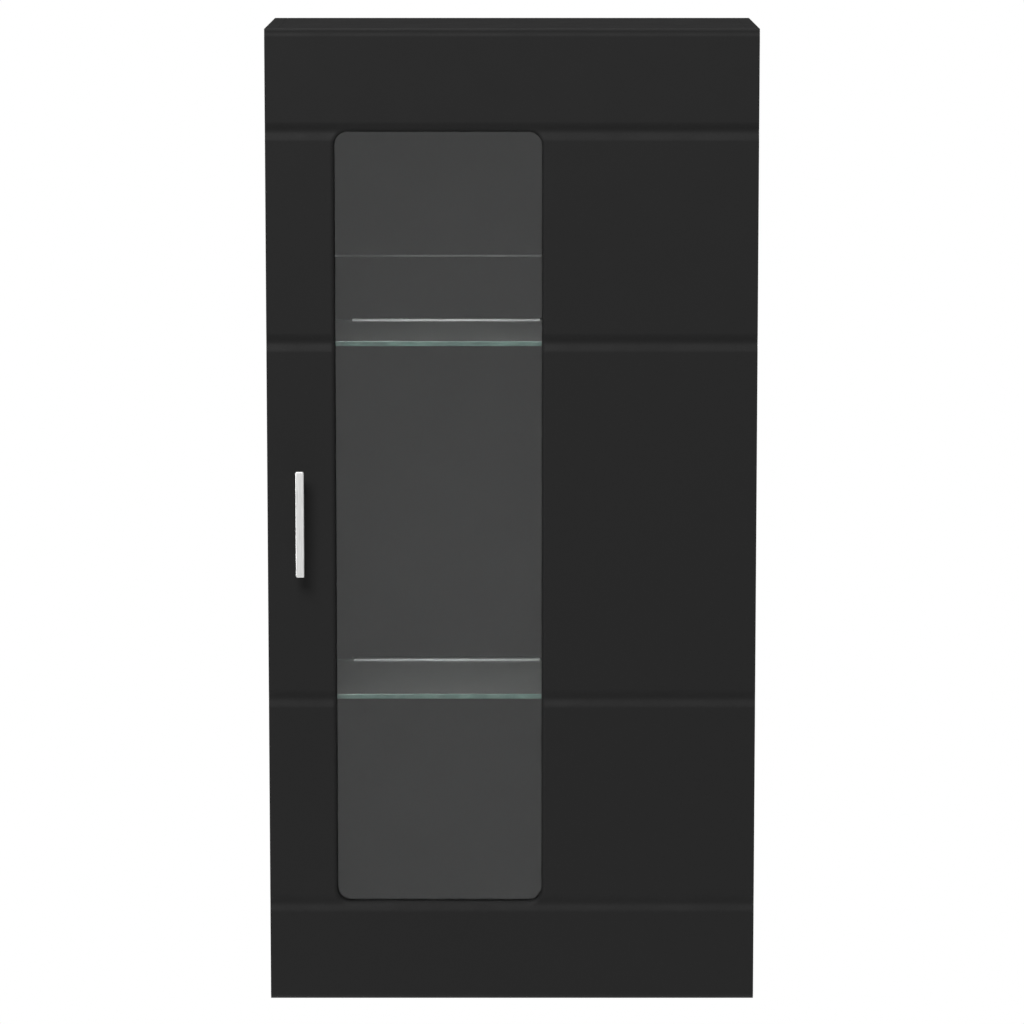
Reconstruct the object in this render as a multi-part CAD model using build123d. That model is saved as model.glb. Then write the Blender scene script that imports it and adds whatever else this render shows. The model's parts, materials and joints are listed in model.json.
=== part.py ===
from build123d import *
import os

# Hanging wall cabinet with one glazed door. Millimetres, X to the right, Y towards the wall, Z up.
# The origin is the centre of the four wall screws, on the wall's face.

# Overall
width = 600
height = 1200
depth = 300
wall_screw_height = 1140  # wall screws' centre above the cabinet's underside
bottom = -wall_screw_height
middle = bottom + height / 2
top = bottom + height

# Carcass
board = 16
edging = 1
inner_half = width / 2 - board
back_thickness = 3
back_front = -20  # front face of the back panel
groove_depth = 8
groove_slack = 0.15
seam_height = 900  # where the two back panels meet
seam_half = 0.6  # half the gap between them
back_play = 0.5  # left between a back panel and the end of its groove
bead_half = 1.3  # joining strip's narrow front bead
bead_thickness = 0.8
flange_half = 6  # joining strip's wide rear flange
flange_thickness = 1.2
hook_cutout = [261, 278]  # from the middle, where the hanger hooks pass the back
bush_x = -240
bush_z = bottom + 60
bush_radius = 10
bush_bore = 7
bush_collar = 1.5
bush_tail = 3

# Door
door_thickness = 18
door_gap = 2.5  # between the door's back and the carcass
door_reveal = 1  # door smaller than the carcass on each side
door_outer = -depth
door_back = door_outer + door_thickness
carcass_front = door_back + door_gap
door_half = width / 2 - door_reveal
board_front = carcass_front + edging

# Routed door front
groove_heights = [123, 380, 820, 1077]
groove_width = 21
routing_depth = 3.5
groove_shoulder = 5
door_top_round = 8
door_back_round = 2.5

# Window in the door
window_left = -215.4
window_right = 36.3
window_low = bottom + 124
window_high = bottom + 1076
window_corner = 16
window_land = 11  # door thickness left in front of the seal
rebate = 8
seal_thickness = 1
pane_thickness = 4
clip_heights = [190, 490, 710, 1010]
clip_size = [16, 20, 1.5]  # width, height, thickness
clip_foot = [2.5, 8]  # width, half height
clip_screw_offset = 2

# Shelves and their lights
shelf_tops = {"lower": 381, "upper": 819}
shelf_thickness = 6
shelf_half = inner_half - 1
shelf_front = -272
shelf_rear = -22.6
pin_radius = 2.5
pin_depths = [-250, -50]
pad_thickness = 1
pin_pitch = 32
pin_length = 9  # inside the cabinet
pin_bore = 8
pad_half = 3.5
light_left = -202.8
light_right = 35.4
light_wall = 1.2
light_lip = 8
lens_thickness = 1

# Hinges
hinge_heights = {"lower": 100, "middle": 600, "upper": 1100}
pivot_x = door_half - 7
pivot_y = door_back - 7
pivot_radius = 1.25
pivot_clearance = 0.05
eye_radius = 2.4
cup_radius = 17.5
cup_depth = 11.5
cup_x = door_half - 3 - cup_radius
pocket_half = 6
pocket_floor = door_back - 10.3
plate_line = carcass_front + 37  # screw line of the mounting plates
neck_half = 5.5
pin_half = 8.6  # half the length of the pivot pin
plate_sheet = 2.2
plate_block = 12  # height of the plate's block over the side panel
plate_half_height = 24
plate_screw_rise = 16
adjusting_screw_depths = [plate_line - 10, plate_line + 14]
arm_top = 13.5  # arm's outer face over the side panel
arm_sheet = 1.5
flange_lift = 1.2  # cup flange over the door's back
cup_screw_inset = 9.5
cup_screw_rise = 22.5
spring_thickness = 0.4

# Handle
handle_x = -258.4
handle_length = 130
handle_width = 10
handle_thickness = 6
handle_reach = 27  # bar's front face in front of the door
post_radius = 4
post_spacing = 96
handle_screw_radius = 2

# Knock-down fittings
fitting_depths = [-229.5, -60]
dowel_depths = [-197.5, -92]
cam_offset = 34
cam_radius = 7.5
cam_depth = 12.5
cam_play = 0.1
bolt_radius = 3.4
bolt_waist = 2
bolt_thread = 2.5
dowel_radius = 4
bore_slack = 0.02  # between a screw's thread and its bore
panel_dowel_bore = 20
side_dowel_bore = 10
side_screw_bore = 11
small_screw_radius = 1.75

# Wall hanging
wall_hole_x = 250
wall_hole_rise = 12  # each hole above and below the origin
wall_hole_radius = 3.5
plate_half = 28
plate_thickness = 2.5
lip_foot = 26  # height of the plate's step above the origin
lip_top = 35
lip_depth = 10  # lip's front face in front of the wall
hook_x = 269.5
hook_thickness = 3
hook_rear = -2.5
housing_width = 20
housing_length = 62
housing_low = lip_top - 32
housing_high = lip_top + 7
housing_wall = 12  # solid front of the housing, where the adjusting screws turn
hanger_screw_radius = 2
hanger_screw_seat = 9  # side panel to the fixing screws' heads
adjusting_heights = [lip_top - 15, lip_top - 4]
bumper_heights = [60, 600, 1140]
bumper_radius = 4
bumper_thickness = 2

parts = {}


def block(x0, x1, y0, y1, z0, z1):
    """Box between two corners."""
    size = Box(abs(x1 - x0), abs(y1 - y0), abs(z1 - z0))
    return Pos((x0 + x1) / 2, (y0 + y1) / 2, (z0 + z1) / 2) * size


def rod_x(x0, x1, y, z, radius):
    return Pos((x0 + x1) / 2, y, z) * Rot(0, 90, 0) * Cylinder(radius, abs(x1 - x0))


def rod_y(x, y0, y1, z, radius):
    return Pos(x, (y0 + y1) / 2, z) * Rot(90, 0, 0) * Cylinder(radius, abs(y1 - y0))


def rod_z(x, y, z0, z1, radius):
    return Pos(x, y, (z0 + z1) / 2) * Cylinder(radius, abs(z1 - z0))


def mirrored(shape):
    return mirror(shape, about=Plane.YZ)


def group(solids):
    return Compound(children=list(solids))


def both_sides(shapes):
    return [*shapes, *(mirrored(shape) for shape in shapes)]


def rounded_window(grow, y0, y1, corner):
    """Prism with the window's outline, grown on every side."""
    wide = window_right - window_left + 2 * grow
    tall = window_high - window_low + 2 * grow
    outline = RectangleRounded(wide, tall, corner)
    centre = ((window_left + window_right) / 2, y1, (window_low + window_high) / 2)
    plane = Plane(origin=centre, x_dir=(1, 0, 0), z_dir=(0, -1, 0))
    return extrude(plane * outline, amount=y1 - y0)


def cam_height(level):
    """Height of the middle of the top or bottom panel."""
    return top - board / 2 if level == "top" else bottom + board / 2


def cam_face(level):
    """Face of the panel that the cams are bored from."""
    return top - board if level == "top" else bottom


def fitting_bores(level):
    """Cam, bolt and dowel bores at the right end of the top or bottom panel."""
    z, face = cam_height(level), cam_face(level)
    bores = []
    for y in fitting_depths:
        x = inner_half - cam_offset
        bores.append(rod_z(x, y, face, face + cam_depth, cam_radius))
        bores.append(rod_x(x, inner_half, y, z, bolt_radius + cam_play))
    for y in dowel_depths:
        bores.append(rod_x(inner_half - panel_dowel_bore, inner_half, y, z, dowel_radius))
    return bores


def flat_panel(level):
    z0 = top - board if level == "top" else bottom
    panel = block(-inner_half, inner_half, board_front, 0, z0, z0 + board)
    panel -= both_sides(fitting_bores(level))
    return panel - back_groove()


def back_groove():
    low = bottom + board - groove_depth
    high = top - board + groove_depth
    reach = inner_half + groove_depth
    near = back_front - groove_slack
    far = back_front + back_thickness + groove_slack
    return block(-reach, reach, near, far, low, high)


def side_bores(places, deep, radius):
    """Bores into the right side panel from inside the cabinet."""
    return [rod_x(inner_half, inner_half + deep, y, z, radius) for y, z in places]


def side_panel():
    """Right side panel, with the bores that both sides have."""
    panel = block(inner_half, width / 2, board_front, 0, bottom, top) - back_groove()
    for level in ("top", "bottom"):
        z = cam_height(level)
        panel -= side_bores([(y, z) for y in fitting_depths], side_screw_bore, bolt_thread)
        panel -= side_bores([(y, z) for y in dowel_depths], side_dowel_bore, dowel_radius)
    for shelf_top in shelf_tops.values():
        for step in (-1, 0, 1):
            z = pin_height(shelf_top) + step * pin_pitch
            panel -= side_bores([(y, z) for y in pin_depths], pin_bore, pin_radius)
    panel -= side_bores(hanger_screw_places(), side_screw_bore, hanger_screw_radius)
    return panel


def plate_screw_places():
    rises = (-plate_screw_rise, plate_screw_rise)
    return [(plate_line, bottom + h + rise) for h in hinge_heights.values() for rise in rises]


def build_carcass():
    right = side_panel()
    parts["side_panel_left"] = mirrored(right)
    right -= side_bores(plate_screw_places(), side_screw_bore, small_screw_radius)
    parts["side_panel_right"] = right
    parts["top_panel"] = flat_panel("top")
    parts["bottom_panel"] = flat_panel("bottom")
    band = block(inner_half, width / 2, carcass_front, board_front, bottom, top)
    parts["edge_band_right"] = band
    parts["edge_band_left"] = mirrored(band)
    for name, z in (("top", top - board), ("bottom", bottom)):
        parts[f"edge_band_{name}"] = block(
            -inner_half, inner_half, carcass_front, board_front, z, z + board
        )


def build_back():
    """Two thin panels in the grooves, joined by a strip with a narrow front bead."""
    reach = inner_half + groove_depth - back_play
    seam = bottom + seam_height
    rear = back_front + back_thickness
    low = bottom + board - groove_depth + back_play
    high = top - board + groove_depth - back_play
    lower = block(-reach, reach, back_front, rear, low, seam - seam_half)
    lower -= rod_y(bush_x, back_front, rear, bush_z, bush_radius)
    upper = block(-reach, reach, back_front, rear, seam + seam_half, high)
    near, far = hook_cutout
    for side in (-1, 1):
        upper -= block(side * near, side * far, back_front, rear, lip_foot - 8, lip_top + 9)
    parts["back_panel_lower"] = lower
    parts["back_panel_upper"] = upper
    strip = seam_strip(back_front, rear, seam_half)
    strip += seam_strip(back_front - bead_thickness, back_front, bead_half)
    strip += seam_strip(rear, rear + flange_thickness, flange_half)
    parts["back_joining_strip"] = strip


def seam_strip(y0, y1, half):
    """Strip across the cabinet, centred on the seam of the back."""
    seam = bottom + seam_height
    return block(-inner_half, inner_half, y0, y1, seam - half, seam + half)


def build_cable_bush():
    """Flanged plastic bush in the lower back panel, for the shelf lights' leads."""
    front = back_front - bush_collar
    rear = back_front + back_thickness + bush_tail
    bush = rod_y(bush_x, front, back_front, bush_z, bush_radius + 3)
    bush += rod_y(bush_x, back_front, rear, bush_z, bush_radius)
    bush -= rod_y(bush_x, front, rear, bush_z, bush_bore)
    parts["cable_bush"] = bush


def cam_lock(y, level):
    x, z, face = inner_half - cam_offset, cam_height(level), cam_face(level)
    cam = rod_z(x, y, face + 0.5, face + cam_depth, cam_radius - cam_play)
    cam -= block(x - 4, x + cam_radius, y - 3.8, y + 3.8, z - 3.8, z + 3.8)
    cam -= block(x - 5, x + 5, y - 0.7, y + 0.7, face + 0.5, face + 2.5)
    return cam


def cam_bolt(y, level):
    x, z = inner_half - cam_offset, cam_height(level)
    bolt = rod_x(x - 2, x + 1, y, z, bolt_radius)
    bolt += rod_x(x + 1, x + 6, y, z, bolt_waist)
    bolt += rod_x(x + 6, inner_half, y, z, bolt_radius)
    return bolt + rod_x(inner_half, inner_half + side_screw_bore - 0.5, y, z, bolt_thread - bore_slack)


def cam_cap(y, level):
    x, face = inner_half - cam_offset, cam_face(level)
    cap = rod_z(x, y, face - 1, face, cam_radius + 1)
    return cap + rod_z(x, y, face, face + 0.5, cam_radius - 0.4)


def dowel(y, level):
    start, end = inner_half - panel_dowel_bore + 1, inner_half + side_dowel_bore - 0.5
    pin = rod_x(start, end, y, cam_height(level), dowel_radius)
    return chamfer(pin.edges().filter_by(GeomType.CIRCLE), 1)


def build_fittings():
    corners = [(y, level) for level in ("top", "bottom") for y in fitting_depths]
    dowels = [(y, level) for level in ("top", "bottom") for y in dowel_depths]
    parts["cam_locks"] = group(both_sides([cam_lock(*c) for c in corners]))
    parts["cam_bolts"] = group(both_sides([cam_bolt(*c) for c in corners]))
    parts["cam_caps"] = group(both_sides([cam_cap(*c) for c in corners]))
    parts["dowels"] = group(both_sides([dowel(*d) for d in dowels]))


def pin_height(shelf_top):
    """Height of a shelf pin's axis."""
    return bottom + shelf_top - shelf_thickness - pad_thickness - pin_radius


def shelf_pin(y, z):
    pin = rod_x(inner_half - pin_length, inner_half + pin_bore - 0.5, y, z, pin_radius)
    return chamfer(pin.edges().filter_by(GeomType.CIRCLE), 0.5)


def shelf_pad(y, z):
    low, start = z + pin_radius, inner_half - pin_length + 0.5
    return block(start, inner_half - 1, y - pad_half, y + pad_half, low, low + pad_thickness)


def build_shelves():
    places = [(y, pin_height(h)) for h in shelf_tops.values() for y in pin_depths]
    parts["shelf_pins"] = group(both_sides([shelf_pin(*p) for p in places]))
    parts["shelf_pads"] = group(both_sides([shelf_pad(*p) for p in places]))
    for name, shelf_top in shelf_tops.items():
        high = bottom + shelf_top
        low = high - shelf_thickness
        glass = block(-shelf_half, shelf_half, shelf_front, shelf_rear, low, high)
        parts[f"glass_shelf_{name}"] = chamfer(glass.edges().filter_by(Axis.X), 0.4)
        build_light(name, low, high)


def build_light(name, low, high):
    """Aluminium channel clipped over the shelf's rear edge, with its lens strip inside."""
    lens_rear = shelf_rear + lens_thickness
    channel = block(
        light_left, light_right, shelf_rear - light_lip, lens_rear + light_wall,
        low - light_wall, high + light_wall,
    )
    channel -= block(light_left, light_right, shelf_rear - light_lip, lens_rear, low, high)
    parts[f"light_channel_{name}"] = channel
    parts[f"light_lens_{name}"] = block(
        light_left, light_right, shelf_rear, lens_rear, low, high
    )


def hinge_plate(z):
    """Cross-shaped plate on the side panel, with the block that the arm clips over."""
    sheet, crown = inner_half - plate_sheet, inner_half - plate_block
    low, high = z - plate_half_height, z + plate_half_height
    plate = block(sheet, inner_half, plate_line - 10, plate_line + 10, low, high)
    plate = fillet(plate.edges().filter_by(Axis.X), 6)
    plate += block(sheet, inner_half, plate_line - 20, plate_line + 24, z - 6, z + 6)
    plate += block(crown, sheet, plate_line - 18, plate_line + 22, z - 6, z + 6)
    for rise in (-plate_screw_rise, plate_screw_rise):
        plate -= rod_x(sheet, inner_half, plate_line, z + rise, 2)
    for y in adjusting_screw_depths:
        plate -= rod_x(crown, inner_half - 4, y, z, 2)
    return plate


def hinge_arm(z):
    """Channel over the plate's block, with a goose neck that reaches the pivot in the cup."""
    web = inner_half - arm_top
    arm = block(web, inner_half - 3, plate_line - 32, plate_line + 25, z - 7.8, z + 7.8)
    inside = web + arm_sheet
    arm -= block(inside, inner_half - 3, plate_line - 30, plate_line + 25, z - 6.1, z + 6.1)
    for y in adjusting_screw_depths:
        arm -= rod_x(web, inside, y, z, 2.1)
    start = plate_line - 31
    outline = Polyline(
        (web, start), (web, pivot_y + 4), (web + 5, pivot_y - 1.9), (pivot_x, pivot_y - 1.9),
        (pivot_x, pivot_y + 1.1), (web + 9, pivot_y + 1.1), (web + 6, pivot_y + 4.5),
        (web + 6, start), close=True,
    )
    neck = extrude(Pos(0, 0, z - neck_half) * make_face(outline), amount=2 * neck_half)
    neck += rod_z(pivot_x, pivot_y, z - neck_half, z + neck_half, eye_radius)
    neck -= rod_z(pivot_x, pivot_y, z - 9, z + 9, pivot_radius + pivot_clearance)
    return arm + neck


def hinge_cup(z):
    """Round cup let into the door, with an oblong pocket, a flange and the pivot's bores."""
    flange_front = door_back + flange_lift
    cup = rod_y(cup_x, door_back - cup_depth, door_back, z, cup_radius)
    flange = block(cup_x - 15, cup_x + 10, door_back, flange_front, z - 28, z + 28)
    cup += fillet(flange.edges().filter_by(Axis.Y), 5)
    cup += rod_y(cup_x, door_back, flange_front, z, cup_radius)
    low, high = z - pocket_half, z + pocket_half
    cup -= block(cup_x - 15.5, door_half - 4.2, pocket_floor, flange_front, low, high)
    cup -= hinge_pin(z)
    for rise in (-cup_screw_rise, cup_screw_rise):
        cup -= rod_y(cup_x - cup_screw_inset, door_back, flange_front, z + rise, 2)
    return cup


def hinge_pin(z):
    return rod_z(pivot_x, pivot_y, z - pin_half, z + pin_half, pivot_radius)


def hinge_spring(z):
    """Leaf spring on the floor of the cup's pocket."""
    start, thick = cup_x - 12, spring_thickness
    leaf = block(start, cup_x + 9, pocket_floor, pocket_floor + thick, z - 4.5, z + 4.5)
    fold = block(start, start + thick, pocket_floor, pocket_floor + 4, z - 4.5, z + 4.5)
    return leaf + fold


def pan_screw(length, radius, head_radius, head):
    """Screw along +Z with its head on the origin's plane, pointing to -Z."""
    shank = Pos(0, 0, -length / 2) * Cylinder(radius, length)
    cap = Pos(0, 0, head / 2) * Cylinder(head_radius, head)
    cap = fillet(cap.edges().sort_by(Axis.Z)[-1], head * 0.4)
    slot = Pos(0, 0, head) * (Box(head_radius * 1.2, 0.7, 1.2) + Box(0.7, head_radius * 1.2, 1.2))
    return shank + cap - slot


def small_screw():
    return pan_screw(13, small_screw_radius, 3.5, 1.8)


def build_hinges():
    places = {name: bottom + h for name, h in hinge_heights.items()}
    for name, z in places.items():
        parts[f"hinge_plate_{name}"] = hinge_plate(z)
        parts[f"hinge_arm_{name}"] = hinge_arm(z)
        parts[f"hinge_cup_{name}"] = hinge_cup(z)
    into_side = Rot(0, -90, 0)
    parts["hinge_plate_screws"] = group(
        Pos(inner_half - plate_sheet, y, z) * into_side * small_screw()
        for y, z in plate_screw_places()
    )
    parts["hinge_adjusting_screws"] = group(
        Pos(inner_half - arm_top, y, z) * into_side * pan_screw(7, 2, 3.4, 1.4)
        for y in adjusting_screw_depths for z in places.values()
    )
    parts["hinge_pins"] = group(hinge_pin(z) for z in places.values())
    parts["hinge_springs"] = group(hinge_spring(z) for z in places.values())
    parts["hinge_cup_screws"] = group(
        Pos(x, y, z) * Rot(-90, 0, 0) * small_screw() for x, y, z in cup_screw_places()
    )


def cup_screw_places():
    x, y = cup_x - cup_screw_inset, door_back + flange_lift
    rises = (-cup_screw_rise, cup_screw_rise)
    return [(x, y, bottom + h + rise) for h in hinge_heights.values() for rise in rises]


def door_slab():
    """Full-width slab whose routed profile runs straight through from side to side."""
    tall = height - 2 * door_reveal
    profile = Pos((door_outer + door_back) / 2, middle) * Rectangle(door_thickness, tall)
    half = groove_width / 2
    radius = (half**2 + routing_depth**2) / (2 * routing_depth)
    for h in groove_heights:
        profile -= Pos(door_outer + routing_depth - radius, bottom + h) * Circle(radius)
    front = profile.vertices().filter_by(lambda v: abs(v.X - door_outer) < 0.01)
    profile = fillet(front.filter_by(lambda v: abs(v.Y - middle) < tall / 2 - 1), groove_shoulder)
    ends = profile.vertices().filter_by(
        lambda v: abs(v.X - door_outer) < 0.01 and abs(v.Y - middle) > tall / 2 - 1
    )
    profile = fillet(ends, door_top_round)
    slab = extrude(Plane.YZ * profile, amount=door_half, both=True)
    rear = slab.edges().filter_by(Axis.Z).filter_by(lambda e: abs(e.center().Y - door_back) < 0.01)
    return fillet(rear, door_back_round)


def clip_places():
    """Centres of the pane's clips on the door's back, with the way each foot points."""
    left = [(window_left - rebate - 4, bottom + h, 1) for h in clip_heights]
    right = [(window_right + rebate + 4, bottom + h, -1) for h in clip_heights]
    return left + right


def pane_clip(x, z, way):
    """Plate screwed to the door's back, with a foot that presses on the pane."""
    wide, tall, thick = clip_size
    pane_back = door_outer + window_land + seal_thickness + pane_thickness
    clip = block(x - wide / 2, x + wide / 2, door_back, door_back + thick, z - tall / 2, z + tall / 2)
    foot_width, foot_half = clip_foot
    near, far = x + way * (wide / 2 - foot_width), x + way * wide / 2
    clip += block(near, far, pane_back, door_back, z - foot_half, z + foot_half)
    return clip - rod_y(x - way * clip_screw_offset, door_back, door_back + thick, z, 1.6)


def build_door():
    land = door_outer + window_land
    slab = door_slab()
    slab -= rounded_window(0, door_outer - 5, door_back + 5, window_corner)
    slab -= rounded_window(rebate, land, door_back + 5, window_corner)
    for h in hinge_heights.values():
        slab -= rod_y(cup_x, door_back - cup_depth, door_back, bottom + h, cup_radius)
    for x, y, z in cup_screw_places():
        slab -= rod_y(x, door_back - 12, door_back, z, small_screw_radius)
    for x, z, way in clip_places():
        slab -= rod_y(x - way * clip_screw_offset, door_back - 8, door_back, z, 1.25)
    slab -= [rod_y(handle_x, door_outer, door_back, z, 2.2) for z in post_heights()]
    parts["door_front"] = slab
    seal_back = land + seal_thickness
    pane_back = seal_back + pane_thickness
    seal = rounded_window(rebate - 0.5, land, seal_back, window_corner - 0.5)
    parts["glass_seal"] = seal - rounded_window(0.5, land, seal_back, window_corner)
    parts["door_glass"] = rounded_window(rebate - 0.5, seal_back, pane_back, window_corner - 0.5)
    parts["glass_clips"] = group(pane_clip(*p) for p in clip_places())
    parts["glass_clip_screws"] = group(
        Pos(x - way * clip_screw_offset, door_back + clip_size[2], z) * Rot(-90, 0, 0)
        * pan_screw(9, 1.25, 2.6, 0.7)
        for x, z, way in clip_places()
    )


def post_heights():
    return [middle - post_spacing / 2, middle + post_spacing / 2]


def build_handle():
    front = door_outer - handle_reach
    back = front + handle_thickness
    low, high = middle - handle_length / 2, middle + handle_length / 2
    bar = block(handle_x - handle_width / 2, handle_x + handle_width / 2, front, back, low, high)
    bar = fillet(bar.edges().filter_by(Axis.Y), 2)
    outer = bar.edges().filter_by(lambda e: abs(e.center().Y - front) < 0.01)
    parts["handle_bar"] = fillet(outer, 1)
    screws = []
    for name, z in zip(("lower", "upper"), post_heights()):
        post = rod_y(handle_x, back, door_outer, z, post_radius)
        parts[f"handle_post_{name}"] = post - rod_y(handle_x, back + 4, door_outer, z, handle_screw_radius)
        screw = pan_screw(door_thickness + 16, handle_screw_radius, 4, 2.2)
        screws.append(Pos(handle_x, door_back, z) * Rot(-90, 0, 0) * screw)
    parts["handle_screws"] = group(screws)


def build_bumpers():
    """Soft pads on the free side's front edge, just short of the closed door."""
    x, front = -width / 2 + board / 2, carcass_front - bumper_thickness
    pads = [rod_y(x, front, carcass_front, bottom + h, bumper_radius) for h in bumper_heights]
    rims = [pad.edges().filter_by(GeomType.CIRCLE).sort_by(Axis.Y)[0] for pad in pads]
    parts["door_bumpers"] = group(fillet(rim, 0.8) for rim in rims)


def hanger_screw_places():
    return [(back_front - 15, lip_top - 20), (back_front - 50, lip_top - 20)]


def hanger_housing():
    """Right housing: a box screwed to the side panel, with a slot that the hook slides in."""
    rear, front = back_front, back_front - housing_length
    side, seat, wall = inner_half - housing_width, inner_half - hanger_screw_seat, front + housing_wall
    housing = block(side, inner_half, front, rear, housing_low, housing_high)
    housing = fillet(housing.edges().filter_by(Axis.X), 3)
    housing -= block(hook_x - 2.3, hook_x + 2.3, wall, rear, lip_top - 24, lip_top + 5.5)
    for y, z in hanger_screw_places():
        housing -= rod_x(seat, inner_half, y, z, hanger_screw_radius)
        housing -= rod_x(side, seat, y, z, 4.2)
    for z in adjusting_heights:
        housing -= rod_y(hook_x, front, wall, z, hanger_screw_radius)
    return housing


def hanger_hook():
    """Steel strip whose tip drops behind the wall plate's lip."""
    x0, x1 = hook_x - hook_thickness / 2, hook_x + hook_thickness / 2
    tail = block(x0, x1, back_front - 44, back_front - 4, lip_top - 22, lip_top + 5)
    beam = block(x0, x1, back_front - 4, hook_rear, lip_top, lip_top + 5)
    tip = block(x0, x1, hook_rear - 4, hook_rear, lip_top - 8, lip_top)
    hook = tail + beam + tip
    for y, z in hanger_screw_places():
        hook -= block(x0, x1, y - 7, y + 7, z - 5, z + 5)
    return hook


def hanger_cap():
    """Cover in front of the housing, with a lip that hugs its inner side."""
    front, side = back_front - housing_length, inner_half - housing_width
    face = block(side - 0.5, inner_half, front - 4.5, front - 3, housing_low, housing_high)
    lip = block(side - 0.5, side, front - 3, front + 2, housing_low + 2, housing_high - 2)
    return face + lip


def wall_plate(side):
    """Steel plate on the wall with two screw holes, a step and an upright lip."""
    x0, x1 = side * wall_hole_x - plate_half, side * wall_hole_x + plate_half
    plate = block(x0, x1, -plate_thickness, 0, -wall_hole_rise - 10, lip_foot)
    plate = fillet(plate.edges().filter_by(Axis.Y).sort_by(Axis.Z)[:2], 4)
    plate += block(x0, x1, -lip_depth, -plate_thickness, lip_foot - plate_thickness, lip_foot)
    plate += block(x0, x1, -lip_depth, plate_thickness - lip_depth, lip_foot, lip_top)
    for z in (-wall_hole_rise, wall_hole_rise):
        plate -= rod_y(side * wall_hole_x, -plate_thickness, 0, z, wall_hole_radius)
    return plate


def build_hangers():
    housing, hook = hanger_housing(), hanger_hook()
    parts["hanger_housing_right"] = housing
    parts["hanger_housing_left"] = mirrored(housing)
    parts["hanger_hook_right"] = hook
    parts["hanger_hook_left"] = mirrored(hook)
    parts["wall_plate_right"] = wall_plate(1)
    parts["wall_plate_left"] = wall_plate(-1)
    parts["hanger_caps"] = group(both_sides([hanger_cap()]))
    fixing = pan_screw(18, hanger_screw_radius - bore_slack, 4, 2.2)
    adjusting = pan_screw(16, hanger_screw_radius, 3.6, 2)
    seat, front = inner_half - hanger_screw_seat, back_front - housing_length
    fixings = [Pos(seat, y, z) * Rot(0, -90, 0) * fixing for y, z in hanger_screw_places()]
    adjustings = [Pos(hook_x, front, z) * Rot(90, 0, 0) * adjusting for z in adjusting_heights]
    parts["hanger_screws"] = group(both_sides(fixings))
    parts["hanger_adjusting_screws"] = group(both_sides(adjustings))


def main():
    build_carcass()
    build_back()
    build_cable_bush()
    build_fittings()
    build_shelves()
    build_hinges()
    build_door()
    build_handle()
    build_bumpers()
    build_hangers()
    os.makedirs("parts", exist_ok=True)
    for name, shape in parts.items():
        export_step(shape, f"parts/{name}.step")
    print(len(parts), "nodes")


main()
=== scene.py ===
import bmesh
import bpy
import json
import math
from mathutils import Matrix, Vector

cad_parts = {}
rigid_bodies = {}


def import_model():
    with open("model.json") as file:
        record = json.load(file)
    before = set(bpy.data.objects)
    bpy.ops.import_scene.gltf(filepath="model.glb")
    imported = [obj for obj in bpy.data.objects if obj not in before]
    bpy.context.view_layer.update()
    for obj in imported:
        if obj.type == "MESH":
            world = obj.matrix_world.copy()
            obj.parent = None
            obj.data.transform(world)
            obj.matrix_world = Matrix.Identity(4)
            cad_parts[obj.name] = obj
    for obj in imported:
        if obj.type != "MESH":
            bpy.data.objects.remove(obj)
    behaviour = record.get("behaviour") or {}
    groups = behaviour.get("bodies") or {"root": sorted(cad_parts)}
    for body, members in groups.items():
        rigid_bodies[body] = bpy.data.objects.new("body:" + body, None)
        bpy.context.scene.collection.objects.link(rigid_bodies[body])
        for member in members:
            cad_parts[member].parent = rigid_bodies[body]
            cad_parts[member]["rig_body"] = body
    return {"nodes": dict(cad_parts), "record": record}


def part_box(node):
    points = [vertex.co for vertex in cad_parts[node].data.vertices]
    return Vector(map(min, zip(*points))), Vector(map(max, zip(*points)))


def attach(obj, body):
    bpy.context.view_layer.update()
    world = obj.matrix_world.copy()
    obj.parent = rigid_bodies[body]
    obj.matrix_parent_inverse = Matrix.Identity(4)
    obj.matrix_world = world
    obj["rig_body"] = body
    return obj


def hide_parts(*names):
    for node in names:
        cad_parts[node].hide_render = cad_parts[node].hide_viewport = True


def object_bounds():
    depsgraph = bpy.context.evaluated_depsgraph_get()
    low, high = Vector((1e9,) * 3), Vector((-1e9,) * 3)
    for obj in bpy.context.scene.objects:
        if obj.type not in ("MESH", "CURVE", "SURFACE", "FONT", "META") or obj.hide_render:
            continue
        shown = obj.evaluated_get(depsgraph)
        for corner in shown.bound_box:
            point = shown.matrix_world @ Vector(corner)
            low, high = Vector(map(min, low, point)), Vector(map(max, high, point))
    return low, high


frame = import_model()
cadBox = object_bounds()
nodes = frame["nodes"]
slotOf = {row["node"]: row["material_slot"] for row in frame["record"]["subparts"]}
across, deep, upright = 0, 1, 2  # axis numbers
sameSpot = 1e-6                  # points closer than this are one
levelFace = 0.99                 # a face whose normal has this much of an axis lies square to it
glassIor = 1.52
print("frame loaded,", len(nodes), "nodes")


def selectOnly(piece):
    if bpy.context.object and bpy.context.object.mode != "OBJECT":
        bpy.ops.object.mode_set(mode="OBJECT")
    bpy.ops.object.select_all(action="DESELECT")
    piece.select_set(True)
    bpy.context.view_layer.objects.active = piece


def clearSelection():
    bpy.ops.object.select_all(action="DESELECT")
    bpy.context.view_layer.objects.active = None


def applyPlace(piece):
    selectOnly(piece)
    bpy.ops.object.transform_apply(location=True, rotation=True, scale=True)


def addBlock(name, low, high):
    # a block between two corners, its object left at the origin
    clearSelection()
    low, high = Vector(low), Vector(high)
    bpy.ops.mesh.primitive_cube_add(size=1, location=(low + high) / 2, scale=high - low)
    piece = bpy.context.object
    piece.name = name
    applyPlace(piece)
    return piece


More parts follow.
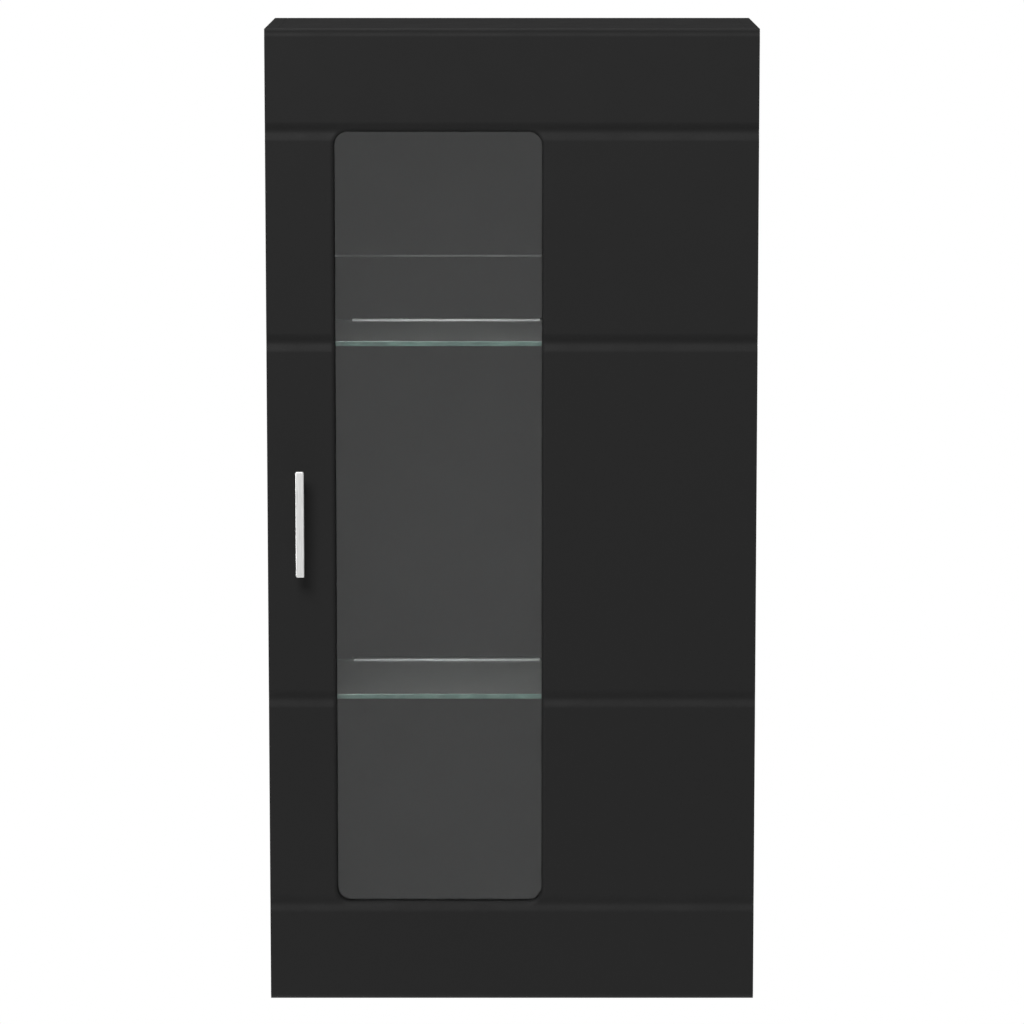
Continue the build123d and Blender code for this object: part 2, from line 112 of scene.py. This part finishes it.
def pick(piece, kind, wanted):
    # opens edit mode with only the wanted verts, edges or faces selected
    selectOnly(piece)
    bpy.ops.object.mode_set(mode="EDIT")
    bpy.ops.mesh.select_mode(type={"verts": "VERT", "edges": "EDGE", "faces": "FACE"}[kind])
    bpy.ops.mesh.select_all(action="DESELECT")
    shape = bmesh.from_edit_mesh(piece.data)
    for element in getattr(shape, kind):
        if wanted(element):
            element.select_set(True)
    shape.select_flush_mode()
    bmesh.update_edit_mesh(piece.data)


def done():
    bpy.ops.object.mode_set(mode="OBJECT")


def middleOf(edge):
    return (edge.verts[0].co + edge.verts[1].co) / 2


def along(edge, axis):
    # true for an edge that runs straight along the axis
    line = edge.verts[1].co - edge.verts[0].co
    return abs(line[axis]) > 0.999 * line.length


def near(a, b, slack=1e-5):
    return abs(a - b) < slack


def bevelEdges(piece, wanted, offset, segments, slide=True):
    # slide keeps new points on the old edges, which folds faces over at tight corners
    pick(piece, "edges", wanted)
    bpy.ops.mesh.bevel(
        offset=offset, segments=segments, profile=0.5, affect="EDGES", clamp_overlap=False,
        loop_slide=slide,
    )
    done()


def applyModifier(piece, kind, **settings):
    selectOnly(piece)
    modifier = piece.modifiers.new(kind.lower(), kind)
    for key, value in settings.items():
        setattr(modifier, key, value)
    bpy.ops.object.modifier_apply(modifier=modifier.name)


def cut(piece, cutter):
    applyModifier(piece, "BOOLEAN", operation="DIFFERENCE", object=cutter, solver="EXACT")
    bpy.data.objects.remove(cutter)


def smooth(piece, angle):
    # smooth shading up to an angle in degrees, flat faces kept flat
    selectOnly(piece)
    bpy.ops.object.shade_smooth_by_angle(angle=math.radians(angle))
    applyModifier(piece, "WEIGHTED_NORMAL", mode="FACE_AREA", weight=50, keep_sharp=True)


def toLinear(code):
    # sRGB hex to the linear colour that the shader wants
    channels = [int(code[i:i + 2], 16) / 255 for i in (1, 3, 5)]
    return [c / 12.92 if c <= 0.04045 else ((c + 0.055) / 1.055) ** 2.4 for c in channels] + [1]


def addNode(tree, kind, place, inputs=None, links=None, **settings):
    # one node with its settings, fixed inputs and incoming links
    node = tree.nodes.new(kind)
    node.location = place
    for key, value in settings.items():
        setattr(node, key, value)
    for key, value in (inputs or {}).items():
        node.inputs[key].default_value = value
    for key, output in (links or {}).items():
        tree.links.new(output, node.inputs[key])
    return node


def newMaterial(name, **shader):
    # a material with one Principled shader, fixed values set on its own sockets
    material = bpy.data.materials.new(name)
    material.use_nodes = True
    tree = material.node_tree
    bsdf = tree.nodes["Principled BSDF"]
    for key, value in shader.items():
        bsdf.inputs[key].default_value = value
    return material, tree, bsdf


def paint(piece, *materials):
    piece.data.materials.clear()
    for material in materials:
        piece.data.materials.append(material)


def grainBump(tree, bsdf, grain, relief, detail=3.0, stretch=(1, 1, 1)):
    # fine relief from noise; one grain's width and its height are in metres
    coords = addNode(tree, "ShaderNodeTexCoord", (-1100, -200))
    mapping = addNode(
        tree, "ShaderNodeMapping", (-900, -200), {"Scale": stretch},
        {"Vector": coords.outputs["Object"]},
    )
    noise = addNode(
        tree, "ShaderNodeTexNoise", (-700, -200), {"Scale": 1 / grain, "Detail": detail},
        {"Vector": mapping.outputs["Vector"]},
    )
    bump = addNode(
        tree, "ShaderNodeBump", (-300, -300), {"Distance": relief, "Strength": 1.0},
        {"Height": noise.outputs["Fac"]},
    )
    tree.links.new(bump.outputs["Normal"], bsdf.inputs["Normal"])
    return mapping


def varyRoughness(tree, bsdf, mapping, patch, low, high):
    # roughness that drifts between low and high over patches of that size in metres
    noise = addNode(
        tree, "ShaderNodeTexNoise", (-700, 100), {"Scale": 1 / patch, "Detail": 2.0},
        {"Vector": mapping.outputs["Vector"]},
    )
    spread = addNode(
        tree, "ShaderNodeMapRange", (-500, 100),
        {"From Min": 0.3, "From Max": 0.7, "To Min": low, "To Max": high},
        {"Value": noise.outputs["Fac"]},
    )
    tree.links.new(spread.outputs["Result"], bsdf.inputs["Roughness"])


def blendColours(tree, bsdf, place, source, darkest, lightest):
    # base colour from a ramp of two tones; each tone is its place on the ramp and its hex
    ramp = addNode(tree, "ShaderNodeValToRGB", place, None, {"Fac": source})
    for element, (position, colour) in zip(ramp.color_ramp.elements, (darkest, lightest)):
        element.position = position
        element.color = toLinear(colour)
    tree.links.new(ramp.outputs["Color"], bsdf.inputs["Base Color"])


def varyColour(tree, bsdf, mapping, patch, darker, lighter):
    # colour that wanders between two close tones over patches of that size in metres
    noise = addNode(
        tree, "ShaderNodeTexNoise", (-700, 400), {"Scale": 1 / patch, "Detail": 3.0},
        {"Vector": mapping.outputs["Vector"]},
    )
    blendColours(tree, bsdf, (-500, 400), noise.outputs["Fac"], (0.35, darker), (0.65, lighter))


def makeFoilWrappedMdf():
    # thermoformed PVC foil on MDF, super matt: an even black with a faint fine grain
    material, tree, bsdf = newMaterial("foilWrappedMdf", **{"Specular IOR Level": 0.12})
    mapping = grainBump(tree, bsdf, grain=0.0009, relief=0.00001)  # really 0.2 mm, coarser to show
    varyRoughness(tree, bsdf, mapping, patch=0.05, low=0.62, high=0.7)
    varyColour(tree, bsdf, mapping, patch=0.0012, darker="#191919", lighter="#1e1e1e")
    return material


def makeMelamineBoard():
    # black melamine-faced particle board, pearl embossed: rougher than the foil, a soft even sheen
    material, tree, bsdf = newMaterial("melamineBoard", **{"Specular IOR Level": 0.1})
    mapping = grainBump(tree, bsdf, grain=0.0014, relief=0.000025)  # dimples 1.4 mm wide
    varyRoughness(tree, bsdf, mapping, patch=0.04, low=0.78, high=0.88)
    varyColour(tree, bsdf, mapping, patch=0.0015, darker="#1c1c1c", lighter="#222222")
    return material


def makeAbsEdging():
    # extruded ABS edge band, scraped and buffed after gluing: a satin line, drawn out along it
    material, tree, bsdf = newMaterial(
        "absEdging", **{"Base Color": toLinear("#1e1e1e"), "Specular IOR Level": 0.3}
    )
    upAndDown = (1, 1, 0.05)
    mapping = grainBump(tree, bsdf, grain=0.0006, relief=0.00001, stretch=upAndDown)
    varyRoughness(tree, bsdf, mapping, patch=0.02, low=0.42, high=0.55)
    return material


def makeLacqueredHardboard():
    # thin hardboard with a rolled black lacquer: flat, with a weak roller texture
    material, tree, bsdf = newMaterial("lacqueredHardboard", **{"Specular IOR Level": 0.08})
    mapping = grainBump(tree, bsdf, grain=0.003, relief=0.00003)  # roller stipple 3 mm wide
    varyRoughness(tree, bsdf, mapping, patch=0.06, low=0.6, high=0.72)
    varyColour(tree, bsdf, mapping, patch=0.05, darker="#1f1f1f", lighter="#232323")
    return material


def makeRawHardboard():
    # the unpainted rear of the same board: brown pressed fibre, mottled
    material, tree, bsdf = newMaterial("rawHardboard", **{"Specular IOR Level": 0.25})
    mapping = grainBump(tree, bsdf, grain=0.0012, relief=0.00004, detail=6.0)  # fibre bundles
    varyRoughness(tree, bsdf, mapping, patch=0.03, low=0.75, high=0.88)
    varyColour(tree, bsdf, mapping, patch=0.012, darker="#543f2f", lighter="#624b3a")
    return material


def makeRawParticleBoard():
    # sawn edge of particle board: pale chips about 2 mm long in every shade of wood
    chipSize = 0.002
    material, tree, bsdf = newMaterial("rawParticleBoard", **{"Specular IOR Level": 0.2})
    mapping = grainBump(tree, bsdf, grain=0.0015, relief=0.0001, detail=5.0)
    varyRoughness(tree, bsdf, mapping, patch=0.01, low=0.8, high=0.92)
    chips = addNode(
        tree, "ShaderNodeTexVoronoi", (-700, 600), {"Scale": 1 / chipSize, "Randomness": 1.0},
        {"Vector": mapping.outputs["Vector"]},
    )
    shade = chips.outputs["Color"]
    blendColours(tree, bsdf, (-450, 600), shade, (0.2, "#8a7050"), (0.8, "#c2a67c"))
    return material


def makeMouldedPlastic(name, darker, lighter, rough):
    # injection-moulded plastic with a spark-eroded texture: matt, even, hardly any grain
    material, tree, bsdf = newMaterial(name)
    mapping = grainBump(tree, bsdf, grain=0.0005, relief=0.00001)  # really 0.1 mm, coarser to show
    swing = 0.06
    varyRoughness(tree, bsdf, mapping, patch=0.01, low=rough - swing, high=rough + swing)
    varyColour(tree, bsdf, mapping, patch=0.01, darker=darker, lighter=lighter)
    return material


def makeBeech():
    # turned beech dowel: fine straight grain with short dark flecks
    material, tree, bsdf = newMaterial("beech")
    alongDowel = (0.12, 1, 1)
    mapping = grainBump(tree, bsdf, grain=0.0008, relief=0.00003, stretch=alongDowel)
    varyRoughness(tree, bsdf, mapping, patch=0.005, low=0.55, high=0.7)
    varyColour(tree, bsdf, mapping, patch=0.0016, darker="#b08a5e", lighter="#c9a679")
    return material


def makePlatedSteel(name, darker, lighter, low, high):
    # plated steel or die-cast zinc: metallic, with a slightly cloudy surface
    material, tree, bsdf = newMaterial(name, Metallic=1.0)
    mapping = grainBump(tree, bsdf, grain=0.002, relief=0.000008)  # ripple of the plating bath
    varyRoughness(tree, bsdf, mapping, patch=0.006, low=low, high=high)
    varyColour(tree, bsdf, mapping, patch=0.004, darker=darker, lighter=lighter)
    return material


def makeBrushedAluminium(name, darker, lighter, low, high, stretch):
    # anodised aluminium brushed along its length: hairlines 0.1 mm apart, coarser here to show
    material, tree, bsdf = newMaterial(name, Metallic=1.0)
    mapping = grainBump(tree, bsdf, grain=0.0004, relief=0.000006, detail=4.0, stretch=stretch)
    varyRoughness(tree, bsdf, mapping, patch=0.0006, low=low, high=high)
    varyColour(tree, bsdf, mapping, patch=0.0007, darker=darker, lighter=lighter)
    return material


def makeFloatGlass(name, colour, clear):
    # clear float glass: only its faint tint and the faintest haze of wiping
    material, tree, bsdf = newMaterial(
        name, **{"Base Color": toLinear(colour), "Transmission Weight": clear, "IOR": glassIor}
    )
    mapping = grainBump(tree, bsdf, grain=0.12, relief=0.00002, detail=1.0)  # slow waviness
    varyRoughness(tree, bsdf, mapping, patch=0.05, low=0.0, high=0.015)
    return material


def makeGlassEdge():
    # ground and polished edge: the iron tint gathers along the pane and shows as deep green
    material, tree, bsdf = newMaterial(
        "polishedGlassEdge", **{"Transmission Weight": 0.35, "IOR": glassIor}
    )
    mapping = grainBump(tree, bsdf, grain=0.002, relief=0.00001)
    varyRoughness(tree, bsdf, mapping, patch=0.01, low=0.12, high=0.2)
    varyColour(tree, bsdf, mapping, patch=0.02, darker="#527a71", lighter="#6c958a")
    return material


def makeSilicone():
    # clear silicone pad: soft, slightly milky
    material, tree, bsdf = newMaterial(
        "clearSilicone",
        **{"Base Color": toLinear("#dcdcd8"), "Transmission Weight": 0.6, "IOR": 1.41},
    )
    mapping = grainBump(tree, bsdf, grain=0.001, relief=0.00001)
    varyRoughness(tree, bsdf, mapping, patch=0.004, low=0.3, high=0.45)
    return material


def makeMilkyAcrylic():
    # opal acrylic diffuser: white, satin, a little light through it
    material, tree, bsdf = newMaterial("opalAcrylic", **{"Transmission Weight": 0.15, "IOR": 1.49})
    mapping = grainBump(tree, bsdf, grain=0.0008, relief=0.000008)
    varyRoughness(tree, bsdf, mapping, patch=0.01, low=0.25, high=0.35)
    varyColour(tree, bsdf, mapping, patch=0.02, darker="#e6e6e2", lighter="#f0f0ee")
    return material


def makeRubber():
    # black rubber glazing strip: dull, darker than the boards
    material, tree, bsdf = newMaterial("blackRubber", **{"Specular IOR Level": 0.3})
    mapping = grainBump(tree, bsdf, grain=0.0007, relief=0.00002)
    varyRoughness(tree, bsdf, mapping, patch=0.01, low=0.65, high=0.8)
    varyColour(tree, bsdf, mapping, patch=0.01, darker="#161616", lighter="#1c1c1c")
    return material


finishes = {
    "door_foil": makeFoilWrappedMdf(),
    "carcass_board": makeMelamineBoard(),
    "edging": makeAbsEdging(),
    "back_board": makeLacqueredHardboard(),
    "pale_plastic": makeMouldedPlastic("paleGreyPvc", "#7c7c7c", "#868686", rough=0.45),
    "dark_plastic": makeMouldedPlastic("blackNylon", "#1a1a1a", "#202020", rough=0.5),
    "grey_plastic": makeMouldedPlastic("greyNylon", "#8c8e8f", "#979999", rough=0.5),
    "beech": makeBeech(),
    "zinc": makePlatedSteel("dieCastZinc", "#8d8f92", "#a5a7a9", low=0.35, high=0.5),
    "shelf_glass": makeFloatGlass("shelfFloatGlass", "#f6f7f7", clear=0.83),  # the rest is dust
    "door_pane": makeFloatGlass("paneFloatGlass", "#fafcfb", clear=1.0),
    "nickel": makePlatedSteel("nickelPlatedSteel", "#bdb8b0", "#d0ccc4", low=0.34, high=0.46),
    "steel": makePlatedSteel("zincPlatedSteel", "#a4a8ac", "#bcc0c3", low=0.28, high=0.4),
    "clear_rubber": makeSilicone(),
    "light_aluminium": makeBrushedAluminium(
        "anodisedAluminium", "#c6c8c9", "#d4d6d7", low=0.28, high=0.38, stretch=(0.03, 1, 1)
    ),
    "light_lens": makeMilkyAcrylic(),
    "black_rubber": makeRubber(),
    "handle_aluminium": makeBrushedAluminium(
        "brushedAluminium", "#e4e4e3", "#f2f2f1", low=0.47, high=0.57, stretch=(1, 1, 0.03)
    ),
}
glassEdge = makeGlassEdge()
rawHardboard = makeRawHardboard()
rawParticleBoard = makeRawParticleBoard()
for nodeName, node in nodes.items():
    paint(node, finishes[slotOf[nodeName]])
print("materials made:", len(bpy.data.materials))


def standIn(piece, nodeName):
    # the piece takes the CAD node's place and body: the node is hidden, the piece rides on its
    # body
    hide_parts(nodeName)
    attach(piece, nodes[nodeName]["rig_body"])


doorFront = {
    "topRound": 0.008,       # front edges at the top and bottom
    "topSteps": 6,
    "rimRound": 0.0055,      # front edge of the window
    "rimSteps": 5,
    "windowCorner": 0.016,
    "cornerSteps": 8,
    "paneLand": 0.011,       # thickness left in front of the pane
    "rebate": 0.008,
    "sealGap": 0.0005,       # between the seal and the rebate
    "backRound": 0.0025,     # upright edges at the back
    "backSteps": 4,
    "edgeSoft": 0.0005,      # all the sharp edges that are left
    "edgeAngle": 55,         # degrees; an edge sharper than this is softened
    "smoothAngle": 35,
    "routingDepth": 0.0035,
    "routingHalf": 0.012,    # half the width of a routed groove
    "routingSteps": 7,       # loops on each flank
    "routingReach": 0.0062,  # points this near the front sink with a groove
    "grooves": [0.123, 0.38, 0.82, 1.077],  # heights above the cabinet's underside
    "cupRadius": 0.0175,
    "cupSides": 64,
    "cupBoreTall": 0.03,
    "cutterExtra": 0.01,     # how far a cutter goes past a face
}


def windowBounds(grow=0):
    # left, right, bottom and top of the window, or of a larger one; the seal gives its place
    low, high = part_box("glass_seal")
    shrink = doorFront["rebate"] - doorFront["sealGap"] - grow
    return low.x + shrink, high.x - shrink, low.z + shrink, high.z - shrink


def inWindow(point, bounds, slack=1e-5):
    left, right, bottom, top = bounds
    return left - slack < point.x < right + slack and bottom - slack < point.z < top + slack


def windowCutter(name, grow, front, back):
    # rounded prism with the window's outline
    left, right, bottom, top = windowBounds(grow)
    block = addBlock(name, (left, front, bottom), (right, back, top))
    bevelEdges(
        block, lambda e: along(e, deep), doorFront["windowCorner"], doorFront["cornerSteps"]
    )
    return block


def cupCutter(name):
    # blind bore for a hinge cup, from the cup's floor out through the door's back
    low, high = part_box(f"hinge_cup_{name}")
    radius, tall = doorFront["cupRadius"], doorFront["cupBoreTall"]
    clearSelection()
    bpy.ops.mesh.primitive_cylinder_add(
        vertices=doorFront["cupSides"], radius=radius, depth=tall, rotation=(math.pi / 2, 0, 0),
        location=(high.x - radius, low.y + tall / 2, (low.z + high.z) / 2),
    )
    cutter = bpy.context.object
    applyPlace(cutter)
    return cutter


def grooveDepth(z, underside):
    # a soft, cosine-shaped hollow round each groove's height
    depth = 0.0
    for height in doorFront["grooves"]:
        reach = abs(z - underside - height) / doorFront["routingHalf"]
        if reach < 1:
            depth = doorFront["routingDepth"] * (0.5 + 0.5 * math.cos(math.pi * reach))
    return depth


def routeGrooves(door, front):
    # loops across the door at every groove, then each loop's front is sunk to the groove's profile
    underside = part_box("side_panel_left")[0].z
    steps = doorFront["routingSteps"]
    for height in doorFront["grooves"]:
        for step in range(-steps, steps + 1):
            z = underside + height + doorFront["routingHalf"] * step / steps
            pick(door, "faces", lambda f: True)
            bpy.ops.mesh.bisect(plane_co=(0, 0, z), plane_no=(0, 0, 1), threshold=sameSpot)
            done()
    reach = front + doorFront["routingReach"]
    digits, slack = 5, 6e-6  # a level's height is rounded, so its points may be this far from it
    for z in sorted({round(v.co.z, digits) for v in door.data.vertices if v.co.y < reach}):
        depth = grooveDepth(z, underside)
        if depth > sameSpot:
            pick(door, "verts", lambda v: near(v.co.z, z, slack) and v.co.y < reach)
            bpy.ops.transform.translate(value=(0, depth, 0))
            done()


def makeDoorFront():
    low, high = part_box("door_front")
    front, back = low.y, high.y
    beyond = doorFront["cutterExtra"]
    door = addBlock("doorFront", low, high)
    bevelEdges(
        door, lambda e: along(e, across) and near(middleOf(e).y, front),
        doorFront["topRound"], doorFront["topSteps"],
    )
    bevelEdges(
        door, lambda e: along(e, upright) and near(middleOf(e).y, back),
        doorFront["backRound"], doorFront["backSteps"],
    )
    cut(door, windowCutter("windowCutter", 0, front - beyond, back + beyond))
    rim = windowBounds()
    bevelEdges(
        door,
        lambda e: all(near(v.co.y, front) and inWindow(v.co, rim) for v in e.verts),
        doorFront["rimRound"], doorFront["rimSteps"],
    )
    land = front + doorFront["paneLand"]
    cut(door, windowCutter("rebateCutter", doorFront["rebate"], land, back + beyond))
    for name in ("lower", "middle", "upper"):
        cut(door, cupCutter(name))
    routeGrooves(door, front)
    applyModifier(
        door, "BEVEL", width=doorFront["edgeSoft"], segments=2, limit_method="ANGLE",
        angle_limit=math.radians(doorFront["edgeAngle"]), use_clamp_overlap=True,
    )
    smooth(door, doorFront["smoothAngle"])
    paint(door, finishes["door_foil"])
    standIn(door, "door_front")
    print("door front made,", len(door.data.polygons), "faces")


makeDoorFront()


handleBar = {
    "cornerRound": 0.002,
    "cornerSteps": 4,
    "edgeRound": 0.0009,     # all round the front face
    "edgeSteps": 3,
    "smoothAngle": 50,
}


def makeHandleBar():
    # flat bar with rounded corners and an eased front edge
    low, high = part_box("handle_bar")
    bar = addBlock("handleBar", low, high)
    bevelEdges(
        bar, lambda e: along(e, deep), handleBar["cornerRound"], handleBar["cornerSteps"]
    )
    bevelEdges(
        bar, lambda e: not along(e, deep) and near(middleOf(e).y, low.y),
        handleBar["edgeRound"], handleBar["edgeSteps"],
    )
    smooth(bar, handleBar["smoothAngle"])
    paint(bar, finishes["handle_aluminium"])
    standIn(bar, "handle_bar")
    print("handle bar made")


makeHandleBar()


glassShelf = {"arris": 0.0006, "arrisSteps": 2, "smoothAngle": 20}


def makeGlassShelf(level):
    # clear faces above and below, polished green edges all round
    nodeName = f"glass_shelf_{level}"
    shelf = addBlock(f"glassShelf{level.capitalize()}", *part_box(nodeName))
    bevelEdges(shelf, lambda e: True, glassShelf["arris"], glassShelf["arrisSteps"])
    paint(shelf, finishes["shelf_glass"], glassEdge)
    pick(shelf, "faces", lambda f: abs(f.normal.z) < levelFace)
    shelf.active_material_index = 1
    bpy.ops.object.material_slot_assign()
    done()
    smooth(shelf, glassShelf["smoothAngle"])
    standIn(shelf, nodeName)
    print(level, "glass shelf made")


for level in ("lower", "upper"):
    makeGlassShelf(level)


brokenEdges = {
    # node: width of the small round along its outer edges
    "side_panel_left": 0.0004, "side_panel_right": 0.0004,
    "top_panel": 0.0004, "bottom_panel": 0.0004,
    "edge_band_left": 0.0003, "edge_band_right": 0.0003,
    "edge_band_top": 0.0003, "edge_band_bottom": 0.0003,
    "back_panel_lower": 0.00025, "back_panel_upper": 0.00025, "back_joining_strip": 0.0004,
    "light_channel_lower": 0.0002, "light_channel_upper": 0.0002,
    "light_lens_lower": 0.0002, "light_lens_upper": 0.0002,
    "hinge_plate_lower": 0.0002, "hinge_plate_middle": 0.0002, "hinge_plate_upper": 0.0002,
    "hinge_arm_lower": 0.0002, "hinge_arm_middle": 0.0002, "hinge_arm_upper": 0.0002,
    "hanger_housing_left": 0.0002, "hanger_housing_right": 0.0002,
    "hanger_hook_left": 0.0001, "hanger_hook_right": 0.0001, "hanger_caps": 0.0002,
    "wall_plate_left": 0.0002, "wall_plate_right": 0.0002,
    "cam_caps": 0.0002, "cable_bush": 0.0004,
}
edgeBreaking = {
    "flatAngle": 0.5,        # degrees; faces flatter than this become one
    "sharpAngle": 50,        # an edge sharper than this gets the round
    "steps": 2,
    "smoothAngle": 40,
}
rawBacks = {"back_board": rawHardboard, "carcass_board": rawParticleBoard}  # slot: its raw face


def camel(nodeName):
    words = nodeName.split("_")
    return words[0] + "".join(word.capitalize() for word in words[1:])


def breakEdges(nodeName, width):
    # a copy of the CAD node as clean polygons, with a small round along each sharp outer edge
    piece = bpy.data.objects.new(camel(nodeName), nodes[nodeName].data.copy())
    bpy.context.scene.collection.objects.link(piece)
    pick(piece, "faces", lambda f: True)
    bpy.ops.mesh.remove_doubles(threshold=sameSpot)
    bpy.ops.mesh.dissolve_limited(angle_limit=math.radians(edgeBreaking["flatAngle"]))
    bpy.ops.mesh.customdata_custom_splitnormals_clear()
    done()
    sharp = math.radians(edgeBreaking["sharpAngle"])
    bevelEdges(
        piece, lambda e: e.is_convex and e.calc_face_angle(0) > sharp,
        width, edgeBreaking["steps"], slide=False,
    )
    smooth(piece, edgeBreaking["smoothAngle"])
    paint(piece, finishes[slotOf[nodeName]])
    standIn(piece, nodeName)
    return piece


def leaveRaw(piece, raw):
    # the unfinished material on the faces that the wall hides
    piece.data.materials.append(raw)
    rear = max(v.co.y for v in piece.data.vertices)
    pick(
        piece, "faces",
        lambda f: f.normal.y > levelFace and near(f.calc_center_median().y, rear, 2e-5),
    )
    piece.active_material_index = 1
    bpy.ops.object.material_slot_assign()
    done()


for nodeName, width in brokenEdges.items():
    piece = breakEdges(nodeName, width)
    if slotOf[nodeName] in rawBacks:
        leaveRaw(piece, rawBacks[slotOf[nodeName]])
print("edges broken on", len(brokenEdges), "pieces")


studio = {
    "floorDrop": 0.9,        # floor below the cabinet
    "floorRadius": 2.8,
    "floorSides": 96,
    "fadeStart": 0.35,       # share of the radius where the floor begins to fade
    "floorGlow": 0.3,
    "cameraBack": 6.0,       # in front of the door
    "cameraRise": 0.295,     # above the cabinet's top
    "cameraTilt": 8.371,     # degrees below the horizon
    "lens": 174.35,
    "ambient": 0.34,         # even light from the surroundings
    "mirrored": 0.32,        # how bright the surroundings are in reflections
    "softboxes": {
        # name: place, size in metres, power in watts
        "keyLight": ((-1.4, -4.6, 3.3), (3.0, 2.4), 410),
        "leftLight": ((-4.4, 1.0, -0.5), (2.0, 2.0), 140),
        "rightLight": ((4.4, 1.0, -0.5), (2.0, 2.0), 140),
        "rearLight": ((1.8, 4.6, -0.9), (2.4, 1.6), 150),
    },
}


def makeFloor():
    # a pale round floor that fades into the white surroundings
    radius = studio["floorRadius"]
    clearSelection()
    bpy.ops.mesh.primitive_circle_add(
        vertices=studio["floorSides"], radius=radius, fill_type="NGON",
        location=(0, 0, cadBox[0].z - studio["floorDrop"]),
    )
    floor = bpy.context.object
    floor.name = "floor"
    applyPlace(floor)
    material, tree, bsdf = newMaterial(
        "paleFloor",
        **{
            "Base Color": toLinear("#f2f2f2"), "Roughness": 0.8, "Specular IOR Level": 0.1,
            "Emission Color": toLinear("#ffffff"), "Emission Strength": studio["floorGlow"],
        },
    )
    coords = addNode(tree, "ShaderNodeTexCoord", (-900, 0))
    flat = addNode(
        tree, "ShaderNodeVectorMath", (-700, 0), {1: (1, 1, 0)}, {0: coords.outputs["Object"]},
        operation="MULTIPLY",
    )
    reach = addNode(
        tree, "ShaderNodeVectorMath", (-500, 0), None, {0: flat.outputs["Vector"]},
        operation="LENGTH",
    )
    fade = addNode(
        tree, "ShaderNodeMapRange", (-300, 0),
        {
            "From Min": radius * studio["fadeStart"], "From Max": radius,
            "To Min": 1.0, "To Max": 0.0,
        },
        {"Value": reach.outputs["Value"]}, interpolation_type="SMOOTHSTEP",
    )
    tree.links.new(fade.outputs["Result"], bsdf.inputs["Alpha"])
    paint(floor, material)


def makeWorld():
    # white as seen directly or through glass, dimmer in reflections and as even light
    world = bpy.data.worlds.new("studio")
    bpy.context.scene.world = world
    world.use_nodes = True
    tree = world.node_tree
    background = tree.nodes["Background"]
    background.inputs["Color"].default_value = toLinear("#ffffff")
    path = addNode(tree, "ShaderNodeLightPath", (-1100, 0))
    through = addNode(
        tree, "ShaderNodeMath", (-900, 250), None,
        {0: path.outputs["Is Transmission Ray"], 1: path.outputs["Diffuse Depth"]},
        operation="GREATER_THAN",
    )
    direct = addNode(
        tree, "ShaderNodeMath", (-700, 100), None,
        {0: path.outputs["Is Camera Ray"], 1: through.outputs["Value"]}, operation="MAXIMUM",
    )
    indirect = addNode(
        tree, "ShaderNodeMapRange", (-500, -100),
        {"To Min": studio["mirrored"], "To Max": studio["ambient"]},
        {"Value": path.outputs["Is Diffuse Ray"]},
    )
    strength = addNode(
        tree, "ShaderNodeMapRange", (-300, 0), {"To Max": 1.0},
        {"Value": direct.outputs["Value"], "To Min": indirect.outputs["Result"]},
    )
    tree.links.new(strength.outputs["Result"], background.inputs["Strength"])


def addSoftbox(name, place, size, power):
    # a rectangular area light aimed at the cabinet's middle
    clearSelection()
    bpy.ops.object.light_add(type="AREA", location=place)
    light = bpy.context.object
    light.name = name
    light.data.shape = "RECTANGLE"
    light.data.size, light.data.size_y = size
    light.data.energy = power
    aim = (cadBox[0] + cadBox[1]) / 2 - Vector(place)
    light.rotation_euler = aim.to_track_quat("-Z", "Y").to_euler()


def makeCamera():
    clearSelection()
    front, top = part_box("door_front")[0].y, cadBox[1].z
    bpy.ops.object.camera_add(
        location=(0, front - studio["cameraBack"], top + studio["cameraRise"]),
        rotation=(math.pi / 2 - math.radians(studio["cameraTilt"]), 0, 0),
    )
    camera = bpy.context.object
    camera.data.lens = studio["lens"]
    camera.data.clip_end = 100
    bpy.context.scene.camera = camera


makeFloor()
makeWorld()
for name, settings in studio["softboxes"].items():
    addSoftbox(name, *settings)
makeCamera()
bpy.context.scene.view_settings.view_transform = "Standard"
print("studio made")
